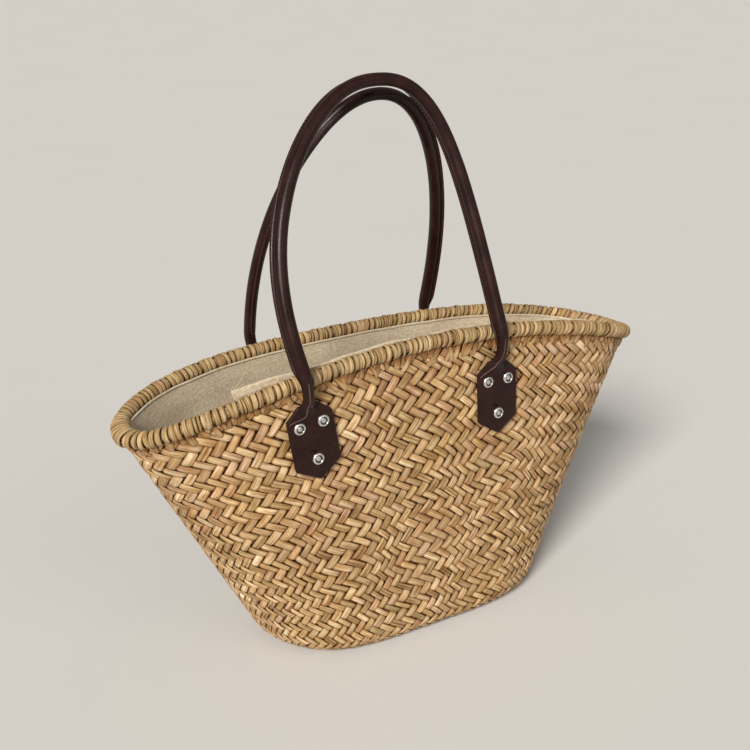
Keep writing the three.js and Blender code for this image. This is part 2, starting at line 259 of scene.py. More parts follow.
def column_table():
    """For each height on the wall, the turn at which each column stands."""
    meridians = np.linspace(-30, RIM_MERIDIAN + 6, 120)
    turns = FIRST_TURN + np.linspace(0, TAU, 1441)
    columns = np.arange(0, COLUMNS * PER_COLUMN + 1) / PER_COLUMN
    table = np.zeros((len(meridians), len(columns)))
    around_ground = around_at(np.linspace(0, TAU, 721), 0).sum()
    ends = np.abs(np.cos((turns[1:] + turns[:-1]) / 2)) ** 3
    for k, meridian in enumerate(meridians):
        steps = around_at(turns, meridian)
        share = np.clip(meridian / RIM_MERIDIAN, 0, 1)
        width = mix(GROUND_WIDTH, RIM_WIDTH, share**1.3)
        if meridian < 0:
            width *= steps.sum() / around_ground
        even = steps / width
        crowding = (COLUMNS - even.sum()) / (even * ends).sum()
        density = np.maximum(even * (1 + crowding * ends), 1e-6)
        reached = np.concatenate([[0], np.cumsum(density)])
        table[k] = np.interp(columns, reached * COLUMNS / reached[-1], turns)
    return meridians, table


TABLE_MERIDIANS, TABLE_TURNS = column_table()


def turn_of(column, meridian):
    """Reads the column table between its entries."""
    loops = np.floor(column / COLUMNS)
    place = (column - loops * COLUMNS) * PER_COLUMN
    index = np.clip(place.astype(int), 0, COLUMNS * PER_COLUMN - 1)
    t = place - index
    spacing = TABLE_MERIDIANS[1] - TABLE_MERIDIANS[0]
    level = np.clip((meridian - TABLE_MERIDIANS[0]) / spacing, 0, len(TABLE_MERIDIANS) - 1.001)
    k = level.astype(int)
    s = level - k
    below = TABLE_TURNS[k, index] * (1 - t) + TABLE_TURNS[k, index + 1] * t
    above = TABLE_TURNS[k + 1, index] * (1 - t) + TABLE_TURNS[k + 1, index + 1] * t
    return below * (1 - s) + above * s + loops * TAU


def handmade_drift(column, row):
    """Slow irregularities that both ways of the weave share."""
    rng = np.random.default_rng(11)
    sideways = np.zeros_like(column)
    upward = np.zeros_like(column)
    for _ in range(9):
        waves = rng.integers(2, 14)
        pace = rng.uniform(-0.32, 0.32)
        phases = rng.uniform(0, TAU, 2)
        size = rng.uniform(0.05, 0.13)
        angle = TAU * waves * column / COLUMNS + pace * row
        sideways += size * np.sin(angle + phases[0])
        upward += size * np.sin(angle + phases[1])
    fade = smooth(0, 6, row)
    return column + sideways * fade, row + upward * fade


def weave_point(rising, falling, depth):
    """A point of the weave from its numbers of rising and falling strips."""
    row = falling - rising
    column, row = handmade_drift(rising + LEAN_RISING * row, row)
    meridian = np.clip(meridian_of(row), None, WEAVE_TOP)
    return inside_face(turn_of(column, meridian), meridian, depth)


# ---- Meshes from grids of points ----


def add_object(name, data):
    made = bpy.data.objects.new(name, data)
    bpy.context.scene.collection.objects.link(made)
    return made


def add_attribute(piece, name, kind, field, values):
    layer = piece.data.attributes.new(name, kind, "POINT")
    layer.data.foreach_set(field, values.astype(np.float32).ravel())


def grid_quads(lines, length, around):
    """Faces of `lines` closed tubes, each `length` rings of `around` points, with closed ends."""
    first = np.arange(length - 1)[:, None] * around
    here = np.arange(around)[None, :]
    there = (here + 1) % around
    corners = (first + here, first + there, first + around + there, first + around + here)
    sides = np.stack(corners, axis=-1).reshape(-1, 4)
    k = np.arange(around // 2 - 1)
    cap = np.stack([k, around - 1 - k, around - 2 - k, k + 1], axis=-1)
    quads = np.concatenate([sides, cap, cap[:, ::-1] + (length - 1) * around])
    offsets = np.arange(lines)[:, None, None] * (length * around)
    return (quads[None] + offsets).reshape(-1, 4)


def signed_volume(points, quads):
    a, b, c, d = (points[quads[:, k]] for k in range(4))
    return (np.cross(a, b) * c).sum() + (np.cross(a, c) * d).sum()


def mesh_from(name, points, quads):
    mesh = bpy.data.meshes.new(name)
    mesh.vertices.add(len(points))
    mesh.vertices.foreach_set("co", (points * MM).astype(np.float32).ravel())
    mesh.loops.add(quads.size)
    mesh.loops.foreach_set("vertex_index", quads.astype(np.int32).ravel())
    mesh.polygons.add(len(quads))
    mesh.polygons.foreach_set("loop_start", np.arange(0, quads.size, 4, dtype=np.int32))
    mesh.polygons.foreach_set("use_smooth", np.ones(len(quads), bool))
    mesh.update(calc_edges=True)
    mesh.validate()
    return add_object(name, mesh)


def tubes(name, grid, places=None, tints=None):
    """One piece of many closed tubes. grid holds [tube, ring, point of the ring, xyz]."""
    lines, length, around, _ = grid.shape
    quads = grid_quads(lines, length, around)
    points = grid.reshape(-1, 3)
    if signed_volume(points, quads[: len(quads) // lines]) < 0:
        quads = quads[:, ::-1]
    piece = mesh_from(name, points, quads)
    if places is not None:
        values = np.broadcast_to(places, grid.shape)
        add_attribute(piece, "strand_place", "FLOAT_VECTOR", "vector", values)
    if tints is not None:
        colours = np.ones(grid.shape[:3] + (4,))
        colours[..., :3] = tints
        add_attribute(piece, "strand_tint", "FLOAT_COLOR", "color", colours)
    return piece


def strand_places(shape, along, across, number=0.0):
    """Where the straw's fibres are: metres along a strand, across it, and the strand's own number."""
    places = np.zeros(shape)
    places[..., 0] = along
    places[..., 1] = across
    places[..., 2] = number
    return places


def finish_piece(piece, body, slot, material, *nodes):
    piece.data.materials.append(material)
    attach(piece, body)
    if nodes:
        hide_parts(*nodes)
    return piece


# ---- Materials ----

WARMTH = np.array([1.0, 1.45, 2.2])      # powers of a shade in red, green and blue
MIX_FACTOR, MIX_A, MIX_B, MIX_RESULT = 0, 6, 7, 2      # the mix node's sockets for colours


class Look:
    """A node material that is put together a line at a time."""

    def __init__(self, name):
        self.material = bpy.data.materials.new(name)
        self.material.use_nodes = True
        self.tree = self.material.node_tree
        self.shader = self.tree.nodes["Principled BSDF"]

    def feed(self, socket, value):
        """Gives a socket a node's output, a number or a colour."""
        if isinstance(value, bpy.types.NodeSocket):
            self.tree.links.new(value, socket)
        elif socket.type == "RGBA":
            socket.default_value = (*value, 1)
        else:
            socket.default_value = value

    def set(self, **values):
        """Feeds the shader's own sockets."""
        for key, value in values.items():
            self.feed(self.shader.inputs[key.replace("_", " ")], value)

    def node(self, kind, output, sockets=(), **settings):
        """Adds a node, feeds its sockets and returns one of its outputs."""
        made = self.tree.nodes.new(kind)
        for key, value in settings.items():
            setattr(made, key, value)
        for key, value in dict(sockets).items():
            self.feed(made.inputs[key], value)
        return made.outputs[output]

    def attribute(self, name, output):
        return self.node("ShaderNodeAttribute", output, attribute_name=name)

    def scaled(self, vector, scale):
        return self.node("ShaderNodeMapping", "Vector", {"Scale": scale, "Vector": vector})

    def strand(self, scale):
        """The place on a strand or cloth."""
        return self.scaled(self.attribute("strand_place", "Vector"), scale)

    def space(self, scale=(1, 1, 1)):
        """The place on the object."""
        return self.scaled(self.node("ShaderNodeTexCoord", "Object"), scale)

    def noise(self, vector, scale=1.0, detail=3.0, roughness=0.55):
        sockets = {"Scale": scale, "Detail": detail, "Roughness": roughness, "Vector": vector}
        return self.node("ShaderNodeTexNoise", "Fac", sockets)

    def spread(self, value, to_low, to_high, low=0.3, high=0.7):
        """Stretches low..high to to_low..to_high, and no further."""
        sockets = {"From Min": low, "From Max": high, "To Min": to_low, "To Max": to_high}
        return self.node("ShaderNodeMapRange", "Result", {**sockets, "Value": value})

    def math(self, operation, *values):
        """One operation on the first two values, then on its result and the next."""
        result = values[0]
        for value in values[1:] or (0,):
            result = self.node("ShaderNodeMath", 0, {0: result, 1: value}, operation=operation)
        return result

    def blend(self, factor, a, b, kind="MIX"):
        sockets = {MIX_FACTOR: factor, MIX_A: a, MIX_B: b}
        return self.node("ShaderNodeMix", MIX_RESULT, sockets, data_type="RGBA", blend_type=kind)

    def times(self, colour, shade):
        return self.blend(1.0, colour, shade, "MULTIPLY")

    def bump(self, height, distance, strength=1.0, under=None):
        sockets = {"Distance": distance, "Strength": strength, "Height": height}
        if under is not None:
            sockets["Normal"] = under
        return self.node("ShaderNodeBump", "Normal", sockets)

    def grey(self, shade):
        """A colour to multiply by, from one number."""
        return self.node("ShaderNodeCombineColor", 0, {k: shade for k in range(3)})

    def warm(self, shade):
        """The same, but browner where it is darker."""
        powers = {k: self.math("POWER", shade, float(power)) for k, power in enumerate(WARMTH)}
        return self.node("ShaderNodeCombineColor", 0, powers)


def straw_look(name, fibre_depth):
    """Dry split straw: long fibres, cracks along them and stains, over the strands' tint, which carries
    painted shade at their edges.
    """
    look = Look(name)
    fibre = look.noise(look.strand((22, 4.2, 61)), detail=4)
    fine = look.noise(look.strand((60, 15, 83)), detail=2)
    crack = look.noise(look.strand((14, 2.6, 29)), detail=1)
    blotch = look.noise(look.strand((75, 0.6, 17)), detail=3)
    beside_crack = look.math("ABSOLUTE", look.math("SUBTRACT", crack, 0.5))
    groove = look.spread(beside_crack, 0.4, 1, low=0, high=0.02)
    fibre_shade = look.spread(fibre, 0.58, 1.2)
    fine_shade = look.spread(fine, 0.84, 1.13)
    blotch_shade = look.spread(blotch, 0.74, 1.14, low=0.35)
    shade = look.math("MULTIPLY", fibre_shade, fine_shade, blotch_shade, groove)
    lows = [look.math("MULTIPLY", part, 0.5) for part in (fine, groove)]
    look.set(
        Base_Color=look.times(look.attribute("strand_tint", "Color"), look.warm(shade)),
        Roughness=look.spread(fibre, 0.7, 0.46),
        Specular_IOR_Level=0.35,
        Normal=look.bump(look.math("ADD", fibre, *lows), fibre_depth),
    )
    return look.material


def leather_look(name, dark, light, roughness):
    """Smooth finished leather: fine pores, soft creases and slightly rubbed colour."""
    look = Look(name)
    place = look.space()
    cloud = look.noise(place, scale=55, detail=3)
    rub = look.noise(place, scale=420, detail=2)
    crease = look.noise(place, scale=240, detail=4, roughness=0.65)
    pore_sockets = {"Scale": 1500, "Vector": place}
    pores = look.node("ShaderNodeTexVoronoi", "Distance", pore_sockets, feature="F1")
    mixed = look.blend(look.spread(cloud, 0, 1, low=0.35), dark, light)
    look.set(
        Base_Color=look.times(mixed, look.grey(look.spread(rub, 0.82, 1.15, low=0.35))),
        Roughness=look.spread(cloud, roughness - 0.06, roughness + 0.1),
        Specular_IOR_Level=0.2,
        Normal=look.bump(pores, 0.00008, 0.5, look.bump(crease, 0.00022, 0.5)),
    )
    return look.material


def linen_look(dark, light):
    """Plain-weave cloth with slubs, in metres along and up the cloth."""
    look = Look("linen_cloth")
    sockets = {"Scale": 330, "Distortion": 2.2, "Detail": 2, "Detail Scale": 0.4}
    sockets["Vector"] = look.strand((1, 1, 1))
    waves = [
        look.node("ShaderNodeTexWave", "Fac", sockets, wave_type="BANDS", bands_direction=way)
        for way in "XY"
    ]
    threads = look.math("ADD", *waves)
    slubs = look.math("ADD", *(
        look.noise(look.strand(scale), detail=2) for scale in ((60, 900, 1), (900, 60, 1))
    ))
    cloud = look.noise(look.strand((26, 26, 1)), detail=4)
    nub = look.noise(look.strand((420, 420, 1)), detail=3)
    slub_shade = look.spread(slubs, 0.92, 1.06, low=0.7, high=1.3)
    thread_shade = look.spread(threads, 0.96, 1.03, low=0, high=2)
    shade = look.math("MULTIPLY", slub_shade, thread_shade, look.spread(nub, 0.84, 1.12))
    soft = look.bump(look.math("ADD", slubs, nub), 0.0005, 0.6)
    look.set(
        Base_Color=look.times(look.blend(look.spread(cloud, 0, 1), dark, light), look.warm(shade)),
        Roughness=0.95,
        Specular_IOR_Level=0.15,
        Sheen_Weight=0.25,
        Sheen_Roughness=0.5,
        Normal=look.bump(threads, 0.00018, 0.4, soft),
    )
    return look.material


def metal_look(name, colour, roughness, has_painted_shade=False):
    """Plated metal with fine scuffs."""
    look = Look(name)
    scuff = look.noise(look.space((300, 2600, 700)), detail=3)
    cloud = look.noise(look.space(), scale=300, detail=2)
    dull = tuple(0.82 * c for c in colour)
    plain = look.blend(look.spread(cloud, 0, 1, low=0.4), colour, dull)
    if has_painted_shade:
        # Painted shade from the strand_tint attribute, darkest in the rivet caps' grooves.
        plain = look.times(plain, look.attribute("strand_tint", "Color"))
    look.set(
        Base_Color=plain,
        Roughness=look.spread(scuff, roughness - 0.07, roughness + 0.12),
        Metallic=1.0,
        Normal=look.bump(scuff, 0.00006, 0.35),
    )
    return look.material


def rope_look(name, dark, light):
    """Fibrous filling cord, thread or reed."""
    look = Look(name)
    grain = look.noise(look.space((140, 140, 900)), detail=4)
    look.set(
        Base_Color=look.blend(look.spread(grain, 0, 1), dark, light),
        Roughness=0.9,
        Normal=look.bump(grain, 0.0004, 0.6),
    )
    return look.material


STRAW = straw_look("straw_strips", 0.00035)
STRAW_EDGE = straw_look("straw_wrap", 0.0004)
LEATHER = leather_look("leather_smooth", (0.0140, 0.0040, 0.0030), (0.0260, 0.0074, 0.0055), 0.33)
LEATHER_BACK = leather_look("leather_backing", (0.018, 0.006, 0.0045), (0.030, 0.010, 0.008), 0.6)
# Paler leather for the flap's ridge: partly the cut edge's own colour, partly a painted highlight.
PALE_EDGE_AND_HIGHLIGHT_LEATHER = leather_look("leather_pale_edge_and_highlight", (0.085, 0.040, 0.034), (0.135, 0.070, 0.060), 0.35)
THREAD = rope_look("handle_thread", (0.055, 0.022, 0.018), (0.10, 0.045, 0.035))
LINEN = linen_look((0.52, 0.42, 0.29), (0.63, 0.53, 0.385))
NICKEL = metal_look("nickel_caps", (0.80, 0.77, 0.73), 0.27, has_painted_shade=True)
STEEL = metal_look("steel_washers", (0.55, 0.55, 0.54), 0.42)
ROPE = rope_look("cotton_cord", (0.45, 0.40, 0.31), (0.62, 0.57, 0.47))
REED = rope_look("reed_core", (0.22, 0.13, 0.055), (0.42, 0.28, 0.13))

STRAW_FINISHES = {"basket_body": ("straw", STRAW), "rim_wrap": ("straw_edge", STRAW_EDGE)}


def straw_piece(name, grid, places, tints, node="basket_body"):
    """Straw tubes that stand for a CAD node."""
    slot, material = STRAW_FINISHES[node]
    finish_piece(tubes(name, grid, places, tints), "root", slot, material, node)


# ---- Straw strips ----

STRAW_TINTS = np.array([
    [0.640, 0.458, 0.268],
    [0.590, 0.405, 0.222],
    [0.710, 0.530, 0.335],
    [0.550, 0.395, 0.205],
    [0.620, 0.410, 0.255],
    [0.500, 0.345, 0.170],
    [0.670, 0.490, 0.285],
])
# A strip's section: across it in widths, outwards in mm, how far its facets vary, and the painted shade
# in its colour, darkest at its edges and underside where its neighbours shade it.
STRIP_ACROSS = np.array([-0.5, -0.43, -0.25, 0, 0.25, 0.43, 0.5, 0])
STRIP_HEIGHT = np.array([-0.20, 0.24, 0.55, 0.62, 0.55, 0.24, -0.20, -0.36])
STRIP_FACET = np.array([0, 0.5, 1, 1, 1, 0.5, 0, 0])
STRIP_PAINTED_EDGE_SHADE = np.array([0.24, 0.78, 1, 1.05, 1, 0.78, 0.24, 0.3])
STRIP_MIDDLE = 3                  # the section's point on the strip's crest
SAMPLES = 6                       # rings per crossing along a strip
BOTTOM_ROWS = 4                   # crossings that a strip runs on under the base
WEAVE_SWING = 0.95                # how far a strip moves to pass over and under
MIDDLE_DEPTH = 1.85               # of the weave's middle, below the wall's outer face
LEAST_DEPTH = 0.12
CROSSING_LENGTH = 6.5             # along a strip, for the straw's fibres
FIBRES_ACROSS = 2                 # straw fibres' scale across a strip
WALL_PARTS = 3                    # pieces that each way of the weave is divided into


def strip_tints(rng, count):
    """Each strip's own colour, somewhere between two of the straw tints."""
    first = STRAW_TINTS[rng.integers(0, len(STRAW_TINTS), count)]
    second = STRAW_TINTS[rng.integers(0, len(STRAW_TINTS), count)]
    share = rng.random((count, 1))
    return mix(first, second, share) * rng.uniform(0.86, 1.14, (count, 1))


def warm(shade):
    """Red, green and blue to multiply by: browner where the shade is darker."""
    return np.asarray(shade, float)[..., None] ** WARMTH


def over_under(phase):
    """+1 where a strip is outside, -1 inside, over two crossings each."""
    sharpness = 2.3
    return np.tanh(sharpness * np.cos(phase * math.pi / 2)) / math.tanh(sharpness)


def wall_strips(is_rising, seed):
    """All the strips of one way of the weave, and their fibres' places and colours, with painted shade
    in the colours.
    """
    rng = np.random.default_rng(seed)
    rows = np.linspace(-BOTTOM_ROWS, ROWS, (ROWS + BOTTOM_ROWS) * SAMPLES + 1)

    def vary(spacing):
        return wander(rng, COLUMNS, rows, spacing)

    phase = rows - 0.5 if is_rising else 2.5 - rows
    over = (over_under(phase) + 1) / 2
    width = rng.normal(0.93, 0.05, (COLUMNS, 1)) + 0.06 * vary(5)
    width = np.clip(width, 0.76, 1.02) * mix(0.82, 1.0, over)[None, :]
    shift = 0.06 * vary(3.1)
    swing = 0.14 * vary(2.2) + WEAVE_SWING * over_under(phase)[None, :]
    facets = np.stack([vary(1.7) for _ in STRIP_ACROSS], axis=-1)
    height = STRIP_HEIGHT + 0.15 * facets * STRIP_FACET
    split = smooth(0.5, 0.75, vary(9))
    height[..., STRIP_MIDDLE] -= 0.5 * split
    depth = np.clip(MIDDLE_DEPTH - swing[:, :, None] - height, LEAST_DEPTH, None)

    number = np.arange(COLUMNS)[:, None, None] + 0.5
    own = number + (STRIP_ACROSS * width[:, :, None] + shift[:, :, None])
    crossed = np.broadcast_to(number + (1 if is_rising else -1) * rows[None, :, None], own.shape)
    points = weave_point(own, crossed, depth) if is_rising else weave_point(crossed, own, depth)

    tint = strip_tints(rng, COLUMNS)[:, None, None, :]
    fade = 1 + 0.12 * vary(3)[:, :, None, None]
    # Painted shade at the strips' edges and underside.
    shade = np.tile(STRIP_PAINTED_EDGE_SHADE, (COLUMNS, len(rows), 1))
    # Painted shade in the split's groove.
    shade[..., STRIP_MIDDLE] *= 1 - 0.5 * split
    # Painted shade where the strip dives under the crossing strips.
    shade *= mix(0.18, 1.0, smooth(0.1, 0.8, over))[None, :, None]
    # Painted shadow of the rim on the top rows.
    shade *= mix(0.5, 1.0, smooth(0.6, 3.0, ROWS - rows))[None, :, None]
    shade *= 1 + 0.13 * vary(1.9)[:, :, None]
    along = rows[:, None] * CROSSING_LENGTH * MM
    number = rng.random((COLUMNS, 1, 1))
    places = strand_places(points.shape, along, STRIP_ACROSS * FIBRES_ACROSS, number)
    return points, places, tint * fade * warm(shade)


def build_wall():
    for word, is_rising, seed in (("rising", True, 21), ("falling", False, 22)):
        points, places, tints = wall_strips(is_rising, seed)
        for part in range(WALL_PARTS):
            chosen = slice(part * COLUMNS // WALL_PARTS, (part + 1) * COLUMNS // WALL_PARTS)
            straw_piece(f"weave_{word}_{part + 1}", points[chosen], places[chosen], tints[chosen])


UNDERSIDE = np.array([104.0, 48.0])      # half length and half width of the base's own weave
UNDERSIDE_PITCH = 7.4
UNDERSIDE_DEPTH = 1.75                   # of the weave's middle, above the ground
UNDERSIDE_LEAST = 0.15                   # the lowest point's height above the ground
BORDER_OUT = 1.5                         # of the border's middle, outside that weave
BORDER_TWIST = 11                        # length of one turn of the border's two strands


def chord(offset, direction, across):
    """Where a straight strip enters and leaves the base's oval, or nothing if it hardly meets it."""
    a = ((direction / UNDERSIDE) ** 2).sum()
    b = 2 * offset * (direction * across / UNDERSIDE**2).sum()
    c = offset**2 * ((across / UNDERSIDE) ** 2).sum() - 1
    inside = b * b - 4 * a * c
    if inside <= 0.4 * a:
        return None
    return (-b - math.sqrt(inside)) / (2 * a), (-b + math.sqrt(inside)) / (2 * a)


def build_base():
    """The flat base: the same weave, lying at 45 degrees to the bag's length."""
    rng = np.random.default_rng(31)
    reach = int(math.hypot(*UNDERSIDE) / UNDERSIDE_PITCH) + 1
    strips, places, tints = [], [], []
    for sign, first_phase in ((1, 0.5), (-1, 2.5)):
        direction = np.array([1, sign]) / math.sqrt(2)
        across = np.array([-direction[1], direction[0]])
        for k in range(-reach, reach + 1):
            offset = (k + 0.5) * UNDERSIDE_PITCH
            ends = chord(offset, direction, across)
            if ends is None:
                continue
            path = np.linspace(*ends, 64)
            swing = 0.5 * over_under(path / UNDERSIDE_PITCH - sign * k - first_phase)
            offsets = STRIP_ACROSS * UNDERSIDE_PITCH * 0.94
            centre = path[:, None] * direction + offset * across
            flat = centre[:, None, :] + offsets[None, :, None] * across
            z = np.maximum(UNDERSIDE_DEPTH - swing[:, None] - 0.85 * STRIP_HEIGHT, UNDERSIDE_LEAST)
            strip = np.dstack([flat[..., 0], flat[..., 1] + DEPTH_SHIFT, z])
            strips.append(strip)
            along = path[:, None] * MM
            places.append(strand_places(strip.shape, along, STRIP_ACROSS * FIBRES_ACROSS, rng.random()))
            # Painted shade at the strips' edges, in their colour.
            tints.append(strip_tints(rng, 1) * warm(STRIP_PAINTED_EDGE_SHADE))
    straw_piece("weave_base", np.array(strips), np.array(places), np.array(tints)[:, None])


def build_base_border():
    """Two twisted strands that hide where the wall's strips meet the base."""
    rng = np.random.default_rng(32)
    turns = np.linspace(0, TAU, 721)
    half = UNDERSIDE + BORDER_OUT
    directions = np.stack([np.cos(turns), np.sin(turns)], axis=-1)
    flat = directions * half + np.array([0, DEPTH_SHIFT])
    length = lengths_along(flat)
    twist = TAU * np.round(length[-1] / BORDER_TWIST) * length / length[-1]
    out = unit(directions / half)
    around = circle(8)
    strands = []
    for start in (0, math.pi):
        ring_out = 0.85 * np.cos(twist + start)[:, None] + 0.95 * np.cos(around)
        ring_up = UNDERSIDE_DEPTH + 0.7 * np.sin(twist + start)[:, None] + 0.8 * np.sin(around)
        ring = flat[:, None, :] + out[:, None, :] * ring_out[..., None]
        strands.append(np.dstack([ring, ring_up]))
    grid = np.array(strands)
    places = strand_places(grid.shape, length[:, None] * MM, np.sin(around))
    straw_piece("base_border", grid, places, strip_tints(rng, 2)[:, None, None])


# ---- Rim ----


def rim_axes(turn):
    """Around the rim: its middle line, and directions ahead, out of the bag and up the wall."""
    centre = wall_at(turn, 1.0, 0.0)
    ahead = unit(wall_at(turn + 0.01, 1.0, 0.0) - wall_at(turn - 0.01, 1.0, 0.0))
    up = unit(centre - wall_at(turn, 0.9, 0.0))
    out = unit(np.cross(ahead, up))
    return centre, ahead, out, up


RIM_TURNS = np.linspace(0, TAU, 2881)
RIM_LENGTHS = lengths_along(wall_at(RIM_TURNS, 1.0, 0.0))
RIM_WHOLE = RIM_LENGTHS[-1]


def rim_turn_of(length):
    loops = np.floor(length / RIM_WHOLE)
    return np.interp(length - loops * RIM_WHOLE, RIM_LENGTHS, RIM_TURNS) + loops * TAU


WRAP_PITCH = 4.7
WRAP_ACROSS = np.array([-0.5, -0.42, -0.2, 0.2, 0.42, 0.5, 0.3, -0.3])
WRAP_HEIGHT = np.array([-0.35, 0.45, 0.78, 0.78, 0.45, -0.35, -0.6, -0.6])
WRAP_RADIUS = 5.5
WRAP_LENGTH = 21                  # from a loop's middle to its end, for the straw's fibres
WRAP_FULL_WIDTH = 4.2             # a narrower strand is flatter
SPLIT_SHARE = 0.16                # of the strands, which are split in two
BUNCHING = 3.4                    # how far the strands pile up inside the rim's two ends
EDGE_TINT = np.array([0.96, 1.02, 1.0])


def wrap_strands(rng):
    """The middle and width of each strand along the rim, as two columns."""
    count = int(round(RIM_WHOLE / WRAP_PITCH))
    pitch = RIM_WHOLE / count
    strands = []
    for k in range(count):
        middle = (k + 0.5) * pitch + rng.normal(0, 0.35)
        width = pitch * rng.uniform(0.78, 1.0)
        if rng.random() < SPLIT_SHARE:
            cut = rng.uniform(0.4, 0.6)
            strands.append((middle - width * (1 - cut) / 2, width * cut * 1.04))
            strands.append((middle + width * cut / 2, width * (1 - cut) * 1.04))
        else:
            strands.append((middle, width))
    return np.array(strands)


def build_rim_wrap():
    """Straw strands wound over the rim, each one its own loop."""
    rng = np.random.default_rng(41)
    strands = wrap_strands(rng)
    middles, widths = strands[:, :1], strands[:, 1:]
    number = len(strands)
    angles = np.radians(np.linspace(-80, 262, 24))
    share = np.linspace(-1, 1, len(angles))
    slant = rng.normal(1.7, 0.9, (number, 1))
    bow = rng.normal(0, 0.4, (number, 1))
    length = middles + slant * share + bow * (share**2 - 0.4)
    narrow = widths * (1 - 0.12 * np.abs(share) ** 3) * (1 + 0.05 * wander(rng, number, share, 0.4))
    lift = rng.normal(0, 0.2, (number, 1)) + 0.14 * wander(rng, number, share, 0.35)
    turn = rim_turn_of(length)
    centre, ahead, out, up = rim_axes(turn)
    radial = out * np.cos(angles)[:, None] + up * np.sin(angles)[:, None]
    crest = WRAP_HEIGHT * np.minimum(narrow / WRAP_FULL_WIDTH, 1)[:, :, None]
    crest = crest + 0.1 * np.stack([wander(rng, number, share, 0.3) for _ in WRAP_ACROSS], axis=-1)
    bunched = smooth(0.945, 1.0, np.abs(np.cos(turn))) * np.clip(-np.cos(angles), 0, 1) ** 2
    radius = WRAP_RADIUS + lift[:, :, None] + crest + BUNCHING * bunched[:, :, None]
    grid = sections(centre, radial, radius, ahead, narrow[:, :, None] * WRAP_ACROSS)
    tint = strip_tints(rng, number)[:, None, None, :] * EDGE_TINT
    # Painted shade at each strand's edges, where its neighbours shade it.
    edge = warm(np.interp(np.abs(WRAP_ACROSS), [0.3, 0.42, 0.5], [1.0, 0.8, 0.26]))
    along = (share * WRAP_LENGTH * MM)[:, None]
    own = rng.random((number, 1, 1))
    places = strand_places(grid.shape, along, WRAP_ACROSS * FIBRES_ACROSS, own)
    straw_piece("rim_wrap_strands", grid, places, tint * edge, "rim_wrap")


TUCK_PITCH = 6.4
TUCK_DEPTH = 0.35                 # of a tuck's middle, below the wall's outer face


def build_rim_tucks():
    """Short ends that come out from under the wrap and are pushed into the weave."""
    rng = np.random.default_rng(42)
    count = int(RIM_WHOLE / TUCK_PITCH)
    middles = (np.arange(count) + 0.5) / count * RIM_WHOLE + rng.normal(0, 1.4, count)
    steps = np.linspace(0, 1, 9)
    reach = rng.uniform(9, 17, count)
    tilt = rng.choice([-1, 1], count) * rng.uniform(0.1, 0.85, count)
    width = rng.uniform(3.2, 5.6, count)
    distance = reach[:, None] * steps
    meridian = WEAVE_TOP - distance
    turn = rim_turn_of(middles[:, None] + tilt[:, None] * distance)
    rise_out = 0.8 * np.sin(math.pi * steps) - 1.9 * smooth(0.66, 1.0, steps)
    normal = outer_normal(turn, meridian)
    middle = outer_face(turn, meridian) + normal * (rise_out - TUCK_DEPTH)[:, None]
    across = unit(np.cross(normal, np.gradient(middle, axis=1)))
    grid = sections(middle, across, width[:, None, None] * STRIP_ACROSS, normal, 0.8 * STRIP_HEIGHT)
    tint = strip_tints(rng, count)[:, None, None, :]
    # Painted shade at the ends' edges, and a painted shadow of the wrap that is darkest where they come
    # out from under it.
    edge = warm(STRIP_PAINTED_EDGE_SHADE * mix(0.42, 0.95, smooth(1, 10, distance))[:, :, None])
    along = (distance * MM)[:, :, None]
    own = rng.random((count, 1, 1))
    places = strand_places(grid.shape, along, STRIP_ACROSS * FIBRES_ACROSS, own)
    straw_piece("rim_tucked_ends", grid, places, tint * edge)


# ---- Lining ----

LINING_CLOTH = 0.7
LINING_START = 3.935              # turn at which the cloth's raised end shows on the front
LINING_OVERLAP = 0.10             # turn by which the cloth's last end runs on under the first
LINING_RIPPLES = 16
LINING_RISES = (0.028, 0.94)      # shares of the wall's height that the cloth's wall reaches between
LINING_INSIDE = 5.9               # how far the cloth is inside the wall's middle surface
LINING_INSIDE_TOP = 7.6           # the same under the rim
LINING_EDGE = 7.05                # how far its edge is inside the rim's middle line
FREE_END_INSIDE = 0.9             # how much further inside the raised end is
LINING_BASE_HEIGHT = 5.0
# The hem, folded to the inside: steps inwards and up from the cloth's top.
LINING_FOLD = ((0.15, 0.22), (0.4, 0.25), (0.6, 0.05), (0.6, -0.4), (0.5, -0.9), (0.4, -1.3))


def lining_top(turn):
    """How far the lining's edge stands above the rim's middle line."""
    front = 1 - smooth(5.75, 6.2, turn)
    tall = mix(9.2, 4.6, smooth(LINING_START + 0.05, LINING_START + 0.4, turn))
    wavy = 0.5 * np.sin(13 * turn) + 0.4 * np.sin(29 * turn + 1)
    return mix(-2.6, tall + wavy, front) + 0.3 * wavy


def lining_ripple(turns, rises):
    rng = np.random.default_rng(51)
    ripple = np.zeros((len(turns), len(rises)))
    for _ in range(LINING_RIPPLES):
        waves, pace = rng.integers(4, 38), rng.uniform(-5, 5)
        size, phase = rng.uniform(0.1, 0.3), rng.uniform(0, TAU)
        ripple += size * np.sin(waves * turns[:, None] + pace * rises + phase)
    return ripple


